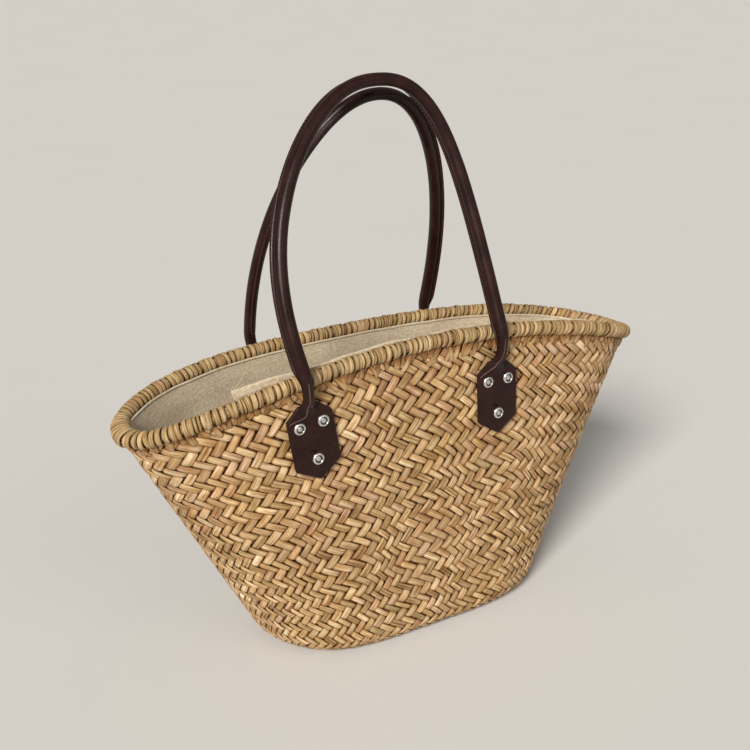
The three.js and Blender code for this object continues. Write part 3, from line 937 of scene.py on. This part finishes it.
def build_lining():
    """The cloth bag's wall: up from the base, behind the rim, and over its edge into a hem."""
    turns = np.linspace(LINING_START, LINING_START + TAU + LINING_OVERLAP, 720)
    under = turns >= LINING_START + TAU - 0.03
    first_end = 1 - smooth(0, 0.2, turns - LINING_START)
    rises = np.linspace(*LINING_RISES, 34)
    calm = np.sin(math.pi * rises / rises[-1]) ** 0.6
    stand_off = np.interp(rises, [0.86, LINING_RISES[1]], [LINING_INSIDE, LINING_INSIDE_TOP])
    ripple = lining_ripple(turns, rises)
    inward = stand_off + (0.9 + ripple) * calm + FREE_END_INSIDE * first_end[:, None] * rises
    wall = wall_at(turns[:, None] % TAU, rises[None, :], -inward)
    centre, _, out, up = rim_axes(turns % TAU)
    top = np.where(under, -3.2, lining_top(LINING_START + (turns - LINING_START) % TAU))
    edge_in = LINING_EDGE + FREE_END_INSIDE * first_end + 0.25 * np.sin(17 * turns)
    edge_in = edge_in + np.where(under, -FREE_END_INSIDE, 0)

    def beside_rim(inward_by, height):
        return centre - out * inward_by[:, None] + up * height[:, None]

    climb = [beside_rim(edge_in, mix(-9.5, top, share)) for share in (0.25, 0.5, 0.75, 0.9, 1.0)]
    hem = [beside_rim(edge_in + inwards, top + upwards) for inwards, upwards in LINING_FOLD]
    sheet = np.concatenate([wall, np.stack(climb + hem, axis=1)], axis=1)
    steps = np.linalg.norm(np.diff(sheet, axis=1), axis=2)
    up_length = np.concatenate([np.zeros((len(turns), 1)), np.cumsum(steps, axis=1)], axis=1)
    along = lengths_along(sheet[:, 20])
    cloth = cloth_piece("lining_wall_cloth", sheet, along[:, None], up_length)
    finish_piece(cloth, "root", "linen", LINEN, "lining_wall")
    build_loose_threads(sheet[:, len(rises) + len(climb) - 1])


# Each thread: the edge's point it starts at, and its reach along, its rise and its curl.
LOOSE_THREADS = ((1, 13.0, 15.0, 6.0), (0, -2.5, 4.0, 1.0), (3, 6.0, 3.5, -1.5), (0, 3.0, 6.5, 2.0))
THREAD_RADIUS = 0.26


def build_loose_threads(edge):
    """Threads that have come loose at the corner of the cloth's raised end."""
    rng = np.random.default_rng(52)
    share = np.linspace(0, 1, 15)[:, None]
    ahead = unit(edge[12] - edge[0])
    rise = np.array([0, 0, 1.0])
    inward = np.cross(ahead, rise)
    threads = []
    for start, reach, up, curl in LOOSE_THREADS:
        climb = up * share + curl * share * (share - 1)
        path = edge[start] + ahead * reach * share**1.3 + rise * climb
        path = path + inward * 1.5 * np.sin(math.pi * share) * rng.uniform(0.4, 1.0)
        forward = unit(np.gradient(path, axis=0))
        side = unit(np.cross(forward, rise))
        radius = THREAD_RADIUS * (1 - 0.5 * share)
        threads.append(rings(path, side, np.cross(side, forward), radius, circle(6)))
    piece = tubes("lining_loose_threads", np.array(threads), np.zeros(3))
    finish_piece(piece, "root", "linen", LINEN)


def cloth_piece(name, sheet, along, up_length):
    """An open sheet with the cloth's thickness. Along and up are the place in its weave."""
    rows, columns, _ = sheet.shape
    index = np.arange(rows * columns).reshape(rows, columns)
    quads = np.stack([index[:-1, :-1], index[1:, :-1], index[1:, 1:], index[:-1, 1:]], axis=-1)
    piece = mesh_from(name, sheet.reshape(-1, 3), quads.reshape(-1, 4))
    places = strand_places(sheet.shape, along * MM, up_length * MM)
    add_attribute(piece, "strand_place", "FLOAT_VECTOR", "vector", places)
    thick = piece.modifiers.new("cloth thickness", "SOLIDIFY")
    thick.thickness = LINING_CLOTH * MM
    thick.offset = 0
    return piece


def build_lining_base():
    """The bottom of the lining, lying on the base."""
    shares = np.linspace(0.02, 1, 26)
    ring = wall_at(np.linspace(0, TAU, 161), 0.022, -8.0)
    middle = np.array([0, DEPTH_SHIFT, 0])
    sheet = middle + (ring - middle)[:, None, :] * shares[None, :, None]
    x, y = sheet[..., 0], sheet[..., 1]
    wave = 0.35 * np.sin(x / 17 + 1) * np.sin(y / 13) + 0.2 * np.sin(x / 7 + y / 9)
    sheet[..., 2] = LINING_BASE_HEIGHT + wave * (1 - shares**6)
    piece = cloth_piece("lining_base_cloth", sheet, x, y)
    finish_piece(piece, "root", "linen", LINEN, "lining_base")


# ---- Tabs and rivets ----


def leg_tilt(handle, sign):
    return math.radians(handle["tilt"] if sign < 0 else 0)


def tab_places():
    for handle in HANDLES:
        for hand, sign in HANDS:
            tilt = leg_tilt(handle, sign)
            neck_x = handle["middle"] + sign * HALF_SPAN
            yield {
                "name": f"{handle['name']}_{hand}",
                "side": handle["side"],
                "tilt": tilt,
                "tip_x": neck_x + TAB_HEIGHT * math.sin(tilt),
                "tip_z": handle["tip"],
            }


def on_tab(place, across, up):
    """X and Z of a point on a tab's own face."""
    cos, sin = math.cos(place["tilt"]), math.sin(place["tilt"])
    x = place["tip_x"] + across * cos - up * sin
    return x, place["tip_z"] + across * sin + up * cos


def rounded_outline(corners, radii, per_corner=7, per_side=6):
    """A closed outline with its corners rounded."""
    corners = np.asarray(corners, float)
    to_before = unit(np.roll(corners, 1, axis=0) - corners)
    to_after = unit(np.roll(corners, -1, axis=0) - corners)
    half = np.arccos((to_before * to_after).sum(axis=1)) / 2
    reach = (np.asarray(radii) / np.tan(half))[:, None]
    starts, ends = corners + to_before * reach, corners + to_after * reach
    points = []
    for k, corner in enumerate(corners):
        for t in np.linspace(0, 1, per_corner):
            points.append((1 - t) ** 2 * starts[k] + 2 * t * (1 - t) * corner + t * t * ends[k])
        for t in np.linspace(0, 1, per_side + 2)[1:-1]:
            points.append(mix(ends[k], starts[(k + 1) % len(corners)], t))
    return np.array(points)


TAB_CORNERS = (
    (0, 0), (TAB_WIDTH / 2, TAB_POINT), (TAB_WIDTH / 2, TAB_HEIGHT - TAB_SHOULDER),
    (TAB_NECK / 2, TAB_HEIGHT), (-TAB_NECK / 2, TAB_HEIGHT),
    (-TAB_WIDTH / 2, TAB_HEIGHT - TAB_SHOULDER), (-TAB_WIDTH / 2, TAB_POINT),
)
TAB_ROUNDING = (1.8, 2.6, 4.5, 2.6, 2.6, 4.5, 2.6)      # at the same corners
# The plate's rings from its inner face outwards. Inner face: share of the way to the outline.
# Edge: distance inside the outline and share of the thickness, with a crease round the border.
# Crown: share of the way to the last ring, and how far it rises above the face.
TAB_INNER_RINGS = (0.04, 0.5, 0.9)
TAB_EDGE_RINGS = (
    (0.5, 0.0), (0.12, 0.18), (0, 0.5), (0.08, 0.8), (0.35, 0.94), (0.8, 1.0),
    (1.7, 1.0), (2.0, 0.93), (2.3, 1.0),
)
TAB_CROWN_INSET = 2.6
TAB_CROWN_RINGS = ((1.0, 0.02), (0.8, 0.08), (0.6, 0.12), (0.4, 0.14), (0.25, 0.14))


def leather_plate(place):
    """A cut piece of leather, curved to the wall, with rounded edges and a creased border."""
    outline = rounded_outline(TAB_CORNERS, TAB_ROUNDING)
    ahead = unit(np.roll(outline, -1, axis=0) - np.roll(outline, 1, axis=0))
    inward = np.stack([-ahead[:, 1], ahead[:, 0]], axis=-1)
    middle = np.array([0, TAB_HEIGHT / 2])
    thick = TAB_OUTER_FACE - TAB_INNER_FACE
    crown = outline + inward * TAB_CROWN_INSET
    sections = [(mix(middle, outline, share), TAB_INNER_FACE) for share in TAB_INNER_RINGS]
    for pulled, level in TAB_EDGE_RINGS:
        sections.append((outline + inward * pulled, TAB_INNER_FACE + thick * level))
    for share, lift in TAB_CROWN_RINGS:
        sections.append((mix(middle, crown, share), TAB_OUTER_FACE + lift))
    grid = []
    for points, level in sections:
        x, z = on_tab(place, points[:, 0], points[:, 1])
        y = wall_depth(x, z, place["side"], WALL_THICKNESS / 2 + level)
        grid.append(np.stack([x, y, z], axis=-1))
    return tubes(f"{place['name']}_tab_leather", np.array(grid)[None])


# The rivet cap, turned: radius, height, and a painted shade in the metal's colour, darkest in its
# groove and at its foot.
CAP_PROFILE = np.array([
    (0.05, 0.0, 1), (4.3, 0.0, 0.6), (4.75, 0.25, 0.8), (4.85, 0.7, 0.95),
    (4.65, 1.3, 1), (4.2, 1.8, 1), (3.7, 2.1, 1), (3.3, 2.15, 0.95),
    (3.05, 1.9, 0.5), (2.85, 1.4, 0.14), (2.6, 1.1, 0.10), (2.25, 1.15, 0.16),
    (2.0, 1.4, 0.6), (1.5, 1.7, 0.9), (0.8, 1.88, 0.9), (0.05, 1.92, 0.85),
])
CAP_SINK = 0.1                    # how far the cap is pressed into the leather


def rivet_cap(name, origin, axis):
    """The cap's outer end is along the axis from its origin."""
    first = unit(np.cross(axis, np.array([1.0, 0, 0])))
    second = np.cross(axis, first)
    radii, heights, painted_groove_shade = CAP_PROFILE.T
    centres = origin + axis * heights[:, None]
    level = np.ones((len(centres), 1))
    grid = rings(centres, first * level, second * level, radii[:, None], circle(40))
    # The third column is painted shade, multiplied into the nickel's colour.
    return tubes(name, grid[None], None, painted_groove_shade[:, None, None])


def build_tabs():
    for place in tab_places():
        name, side = place["name"], place["side"]
        finish_piece(leather_plate(place), "root", "leather", LEATHER, f"{name}_tab")
        for spot, across, up in RIVET_SPOTS:
            x, z = on_tab(place, across, up)
            y = float(wall_depth(x, z, side, WALL_THICKNESS / 2 + TAB_OUTER_FACE - CAP_SINK))
            cap = rivet_cap(f"{name}_cap_{spot}", np.array([x, y, z]), out_of_wall(x, z, side))
            finish_piece(cap, "root", "nickel", NICKEL, f"{name}_rivet_{spot}")


# ---- Handles ----


def handle_point(handle, angle):
    power = 2 / handle["squareness"]
    cos, sin = np.cos(angle), np.sin(angle)
    leg = np.sign(cos)
    height = handle["rise"] * sin**power
    up_share = height / handle["rise"]
    bow = (handle["sway"] + leg * SPREAD) * np.sin(math.pi * up_share)
    x = handle["middle"] + leg * np.abs(cos) ** power * HALF_SPAN + bow + handle["lean"] * up_share
    y = handle["side"] * handle_out(handle, height)
    return np.stack([x, y, neck_height(handle) + height], axis=-1)


def neck_height(handle):
    return handle["tip"] + TAB_HEIGHT


def handle_out(handle, height):
    rising = np.minimum(1, height / SHOULDER_HEIGHT)
    leaning = np.maximum(0, height - SHOULDER_HEIGHT) / (handle["rise"] - SHOULDER_HEIGHT)
    at_rim = mix(NECK_OUT, SHOULDER_OUT, np.sin(rising * math.pi / 2))
    return mix(at_rim, APEX_OUT, leaning)


# Height above the tab's top, half width, half thickness.
NECK_SECTIONS = np.array([
    (-15, 3.0, 0.3), (-11, 5.4, 0.9), (-7, 6.8, 1.8), (-3, 6.7, 2.8), (0, 5.7, 3.5), (4, 4.7, 4.1),
    (9, 4.3, 4.5), (18, 4.35, 4.7), (30, 5.0, 5.0),
])
# How far the middle of the section is outside the tab's outer face, at the heights given first.
NECK_DEPTHS = np.array([-15, -14, -12.5, -11, -9.5, -8, -6, -4, -2, 0.5, 2.8])
NECK_MIDDLE = np.array([-0.5, -0.5, -0.5, -0.5, -0.5, -0.5, -0.4, -0.2, 0.2, 0.8, 1.4])
PATH_START = 5.0                  # above this height the handle's own arch begins


def above_tab(height):
    """0 on the tab, 1 where the handle's own arch has taken over."""
    return smooth(-2, PATH_START, height)


def neck_size(height):
    """Half width and half thickness of the handle at heights above the tab's top."""
    heights, half_widths, half_depths = NECK_SECTIONS.T
    return np.interp(height, heights, half_widths), np.interp(height, heights, half_depths)


def neck_point(handle, sign, across, height, outside):
    """A point near a leg's neck: across and above the tab's top, and outside the tab's face."""
    tilt = leg_tilt(handle, sign)
    cos, sin = math.cos(tilt), math.sin(tilt)
    x = handle["middle"] + sign * HALF_SPAN + across * cos - height * sin
    z = neck_height(handle) - TAB_HEIGHT * (1 - cos) + across * sin + height * cos
    face = wall_depth(x, z, handle["side"], WALL_THICKNESS / 2 + TAB_OUTER_FACE) * handle["side"]
    reached = np.maximum(height, 0)
    out = mix(face + outside, handle_out(handle, reached) + outside, above_tab(height))
    return np.stack([x, handle["side"] * out, z], axis=-1)


def handle_path(handle):
    """Points from inside the left tab, over the top, to inside the right one."""
    first_angle = math.asin((PATH_START / handle["rise"]) ** (handle["squareness"] / 2))
    share = np.linspace(-1, 1, 261)
    eased = np.sign(share) * (1 - (1 - np.abs(share)) ** 1.5)
    arch = handle_point(handle, math.pi / 2 - eased * (math.pi / 2 - first_angle))
    outside = NECK_MIDDLE * (1 - above_tab(NECK_DEPTHS))
    across = np.zeros(len(NECK_DEPTHS))
    left, right = (neck_point(handle, sign, across, NECK_DEPTHS, outside) for _, sign in HANDS)
    return smoothed(np.concatenate([left, arch, right[::-1]]))


FLANGE_REACH = 3.1
FLANGE_HALF = 1.15
FLANGE_START = 13.0               # the flange fades in above the tab between these heights
FLANGE_FULL = 34.0
# The flange's outline: share of its reach, and share of its half thickness.
FLANGE_OUTLINE = np.array([
    (0.10, -0.72), (0.45, -0.96), (0.86, -1.0), (1.0, -0.62), (0.9, -0.1),
    (0.9, 0.1), (1.0, 0.62), (0.86, 1.0), (0.45, 0.96), (0.10, 0.72),
])
FLANGE_ROOT = 0.97                # where the flange grows out of the tube, in its radii
SEAM_TURN = (-4, 40)              # heights between which the seam turns to its full angle


def handle_frames(handle, path, height):
    """Directions along the path: forward, across the handle's arch, outward, and to the seam."""
    side = float(handle["side"])
    forward = unit(np.gradient(path, axis=0))
    sideways = unit(np.cross(forward, np.array([0.0, side, 0.0])))
    outward = np.cross(sideways, forward)
    on_left = smooth(0.35, 0.65, np.linspace(1, 0, len(path)))
    left, right = (math.radians(degrees) for degrees in handle["seam"])
    angle = mix(right, left, on_left) * smooth(*SEAM_TURN, height)
    wanted = np.stack([side * np.cos(angle), -side * np.sin(angle), np.zeros(len(path))], axis=-1)
    seam = unit(wanted - forward * (wanted * forward).sum(axis=1, keepdims=True))
    return forward, sideways, outward, seam


def build_handle(handle, seed):
    path = handle_path(handle)
    height = path[:, 2] - neck_height(handle)
    forward, sideways, outward, seam = handle_frames(handle, path, height)
    other = np.cross(forward, seam)
    half_wide, half_thick = neck_size(height)
    rng = np.random.default_rng(seed)
    swell = 1 + 0.015 * wander(rng, 1, np.arange(len(path), dtype=float), 9)[0]

    def squeeze(points):
        """Section points at every step of the path, flattened into the neck's oval."""
        vectors = seam[:, None, :] * points[None, :, :1] + other[:, None, :] * points[None, :, 1:]
        side_part = (vectors * sideways[:, None, :]).sum(axis=-1, keepdims=True)
        out_part = (vectors * outward[:, None, :]).sum(axis=-1, keepdims=True)
        wide = side_part * half_wide[:, None, None] * sideways[:, None, :]
        return wide + out_part * half_thick[:, None, None] * outward[:, None, :]

    open_angle = math.asin(FLANGE_HALF / TUBE_RADIUS)
    around = np.linspace(open_angle, TAU - open_angle, 26)
    tube = np.stack([np.cos(around), np.sin(around)], axis=-1)
    thickness = FLANGE_OUTLINE[:, 1] * FLANGE_HALF / TUBE_RADIUS
    root = np.stack([np.full(len(thickness), FLANGE_ROOT), thickness], axis=-1)
    reach = FLANGE_OUTLINE[:, 0] * FLANGE_REACH * smooth(FLANGE_START, FLANGE_FULL, height)[:, None]
    flange = squeeze(root) + seam[:, None, :] * reach[..., None]
    section = np.concatenate([flange, squeeze(tube) * swell[:, None, None]], axis=1)
    cover = tubes(f"{handle['name']}_handle_leather", (path[:, None, :] + section)[None])
    across_neck(cover, LEATHER)
    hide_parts(f"{handle['name']}_handle_cover")
    build_rope(handle, path, sideways, outward, height)
    build_stitches(handle, path, seam, other, height)
    for hand, sign in HANDS:
        build_neck_flap(handle, sign, hand)


def across_neck(piece, material):
    """Gives the piece its material and bakes its placement into its points."""
    piece.data.materials.append(material)
    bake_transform(piece)


# The leather's free edge, which comes down the neck and turns out along the tab's shoulder:
# across and height of its ridge, then of the outline behind it, from the tab's top middle.
NECK_FLAPS = {
    "left": np.array([
        (-2.1, 24, -3.6, 24), (-1.9, 17, -4.1, 17), (-1.7, 10, -4.3, 10), (-1.7, 4, -5.0, 4),
        (-1.8, -1, -6.8, 0.8), (-1.9, -5.6, -9.2, -1.2), (-2.6, -9.3, -11.6, -3.2),
        (-7.4, -10.2, -14.2, -5.5), (-11.8, -10.2, -16.4, -7.4), (-15.8, -10.7, -18.2, -9.1),
        (-17.8, -11.7, -18.8, -10.7),
    ]),
    "right": np.array([
        (-2.3, 24, -3.6, 24), (-2.0, 17, -4.1, 17), (-1.8, 10, -4.3, 10), (-2.1, 5, -4.9, 5),
        (-2.6, 0.5, -6.6, 1.6), (-3.5, -3.6, -9.2, -0.8), (-5.6, -6.3, -12.0, -3.0),
        (-9.2, -7.9, -14.8, -5.3), (-13.0, -9.2, -17.0, -7.5), (-16.4, -10.8, -18.5, -9.3),
        (-18.0, -12.0, -18.9, -10.9),
    ]),
}
CUT_EDGE_RADIUS = 0.62
FLAP_SHARE = np.array([0, 0.03, 0.1, 0.2, 0.4, 0.7, 0.95, 1.0, 0.9, 0.6, 0.3, 0.05])
FLAP_LIFT = np.array([0.2, 0.95, 1.3, 1.1, 0.7, 0.6, 0.5, 0.2, -0.4, -0.5, -0.5, -0.3])


def neck_surface(across, height):
    """How far the neck's leather stands outside the tab's face there."""
    half_wide, half_thick = neck_size(height)
    middle = np.interp(height, NECK_DEPTHS, NECK_MIDDLE) * (1 - above_tab(height))
    belly = middle + half_thick * np.sqrt(np.clip(1 - (across / half_wide) ** 2, 0, 1))
    return np.maximum(belly, -6 * smooth(0, 5, height))


def build_neck_flap(handle, sign, hand):
    stations = NECK_FLAPS[hand]
    steps = np.linspace(0, len(stations) - 1, 61)
    ridge_x, ridge_z, edge_x, edge_z = (
        smoothed(np.interp(steps, np.arange(len(stations)), line)) for line in stations.T
    )
    across = mix(ridge_x[:, None], edge_x[:, None], FLAP_SHARE)
    height = mix(ridge_z[:, None], edge_z[:, None], FLAP_SHARE)
    ends = np.sin(math.pi * np.linspace(0.02, 0.98, len(steps))) ** 0.25
    outside = neck_surface(across, height) + FLAP_LIFT * ends[:, None]
    grid = neck_point(handle, sign, -handle["side"] * across, height, outside)
    flap = tubes(f"{handle['name']}_{hand}_neck_flap", grid[None])
    across_neck(flap, LEATHER)
    build_ridge_bead_and_highlight(handle, hand, grid[:, 1:4].mean(axis=1))


def build_ridge_bead_and_highlight(handle, hand, ridge):
    """The burnished cut edge of the leather along the flap's ridge, paler than the leather: partly the
    edge's own colour, partly a painted highlight along the ridge.
    """
    path = ridge[2:-2]
    forward = unit(np.gradient(path, axis=0))
    side = unit(np.cross(forward, np.array([0, float(handle["side"]), 0.2])))
    size = CUT_EDGE_RADIUS * np.sin(math.pi * np.linspace(0.06, 0.97, len(path))) ** 0.3
    grid = rings(path, side, np.cross(side, forward), size[:, None], circle(8))
    edge = tubes(f"{handle['name']}_{hand}_cut_edge", grid[None])
    across_neck(edge, PALE_EDGE_AND_HIGHLIGHT_LEATHER)


ROPE_FROM_HEIGHT = 9
ROPE_STRANDS = 3
ROPE_TWIST = 0.35                 # turn from one step of the path to the next


def build_rope(handle, path, sideways, outward, height):
    """The cord that fills the handle."""
    inside = height > ROPE_FROM_HEIGHT
    around = circle(12)
    turned = np.arange(inside.sum())[:, None] * ROPE_TWIST
    radius = ROPE_RADIUS * (1 + 0.08 * np.cos(ROPE_STRANDS * (around + turned)))
    grid = rings(path[inside], sideways[inside], outward[inside], radius, around)
    rope = tubes(f"{handle['name']}_handle_cord", grid[None])
    across_neck(rope, ROPE)
    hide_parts(f"{handle['name']}_handle_core")


STITCH_PITCH = 3.1
STITCH_LENGTH = 2.1
STITCH_RADIUS = 0.30
STITCH_FROM_HEIGHT = 26           # below this the flange bends with the neck


def build_stitches(handle, path, seam, other, height):
    """Thread that shows on both faces of the seam flange."""
    length = lengths_along(path)
    high = np.flatnonzero(height > STITCH_FROM_HEIGHT)
    starts = np.arange(length[high[0]], length[high[-1]], STITCH_PITCH)
    share = np.linspace(0, 1, 6)
    at = starts[:, None] + share * STITCH_LENGTH

    def along(values):
        return np.stack([np.interp(at, length, values[:, k]) for k in range(3)], axis=-1)

    middle, seam_way, other_way = along(path), unit(along(seam)), unit(along(other))
    belly = (np.sin(math.pi * np.clip(share, 0.05, 0.95)) ** 0.5)[:, None]
    stitches = []
    for face in (-1, 1):
        lift = face * (FLANGE_HALF - 0.08 + 0.2 * belly)
        centre = middle + seam_way * (TUBE_RADIUS + 0.5 * FLANGE_REACH) + other_way * lift
        stitches.append(rings(centre, seam_way, other_way, STITCH_RADIUS * belly, circle(6)))
    piece = tubes(f"{handle['name']}_handle_stitches", np.concatenate(stitches))
    finish_piece(piece, f"{handle['name']}_handle", "leather", THREAD)


# ---- Putting it together ----

build_wall()
build_base()
build_base_border()
build_rim_wrap()
build_rim_tucks()
build_lining()
build_lining_base()
build_tabs()
for handle, seed in zip(HANDLES, (61, 62)):
    build_handle(handle, seed)

KEPT_LOOKS = (("rim_core", REED), ("washer", STEEL), ("backing", LEATHER_BACK))
for node_name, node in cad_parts.items():
    for word, material in KEPT_LOOKS:
        if word in node_name and not node.hide_render:
            node.data.materials.clear()
            node.data.materials.append(material)

# ---- Camera, floor and light ----

CAMERA_POSITION = (-0.4829, -0.76606, 0.5396)
CAMERA_DEGREES = (31.45, 20.289, -0.622)      # turned to the right, down, and rolled
CAMERA_LENS = 55.6
CAMERA_SENSOR = 36
FLOOR_HALF_SIZE = 30.0
FLOOR_SHADES = ((0.630, 0.610, 0.580), (0.642, 0.622, 0.592))
LIGHT_TARGET = (0, 0, 0.15)
WORLD_COLOUR = (0.88, 0.87, 0.84, 1)
WORLD_STRENGTH = 0.34
# Each sun's position, how wide it looks in degrees, its strength and its colour.
SUNS = {
    "key": ((-1.5, -1.25, 1.4), 18, 4.0, (1.0, 0.985, 0.955)),
    "fill": ((0.6, -1.8, 1.3), 40, 0.3, (1.0, 0.97, 0.93)),
}


def set_axes(thing, right, up, back, position):
    """Turns and places a camera or light, which looks away from `back`."""
    for column, values in enumerate((right, up, back, position)):
        for row in range(3):
            thing.matrix_world[row][column] = values[row]


def add_camera():
    yaw, pitch, roll = (math.radians(degrees) for degrees in CAMERA_DEGREES)
    forward = np.array([
        math.sin(yaw) * math.cos(pitch), math.cos(yaw) * math.cos(pitch), -math.sin(pitch),
    ])
    right = np.array([math.cos(yaw), -math.sin(yaw), 0])
    up = np.cross(right, forward)
    rolled_right = math.cos(roll) * right + math.sin(roll) * up
    rolled_up = -math.sin(roll) * right + math.cos(roll) * up
    data = bpy.data.cameras.new("camera")
    data.lens = CAMERA_LENS
    data.sensor_width = CAMERA_SENSOR
    data.clip_start = 0.01
    camera = add_object("camera", data)
    set_axes(camera, rolled_right, rolled_up, -forward, CAMERA_POSITION)
    bpy.context.scene.camera = camera


def add_floor():
    far = FLOOR_HALF_SIZE
    mesh = bpy.data.meshes.new("floor")
    corners = [(-far, -far, 0), (far, -far, 0), (far, far, 0), (-far, far, 0)]
    mesh.from_pydata(corners, [], [(0, 1, 2, 3)])
    floor = add_object("floor", mesh)
    look = Look("floor_paint")
    cloud = look.noise(look.space(), scale=3, detail=3)
    pale = look.blend(look.spread(cloud, 0, 1), *FLOOR_SHADES)
    look.set(Base_Color=pale, Roughness=0.95, Specular_IOR_Level=0.05)
    mesh.materials.append(look.material)


def add_suns():
    for name, (position, soft_degrees, strength, colour) in SUNS.items():
        data = bpy.data.lights.new(name, "SUN")
        data.angle = math.radians(soft_degrees)
        data.energy = strength
        data.color = colour
        back = unit(np.array(position) - np.array(LIGHT_TARGET))
        side = unit(np.cross(np.array([0, 0, 1.0]), back))
        set_axes(add_object(name, data), side, np.cross(back, side), back, position)


def add_world():
    world = bpy.data.worlds.new("studio")
    world.use_nodes = True
    background = world.node_tree.nodes["Background"]
    background.inputs["Color"].default_value = WORLD_COLOUR
    background.inputs["Strength"].default_value = WORLD_STRENGTH
    bpy.context.scene.world = world


add_camera()
add_floor()
add_suns()
add_world()
bpy.context.scene.view_settings.view_transform = "Standard"
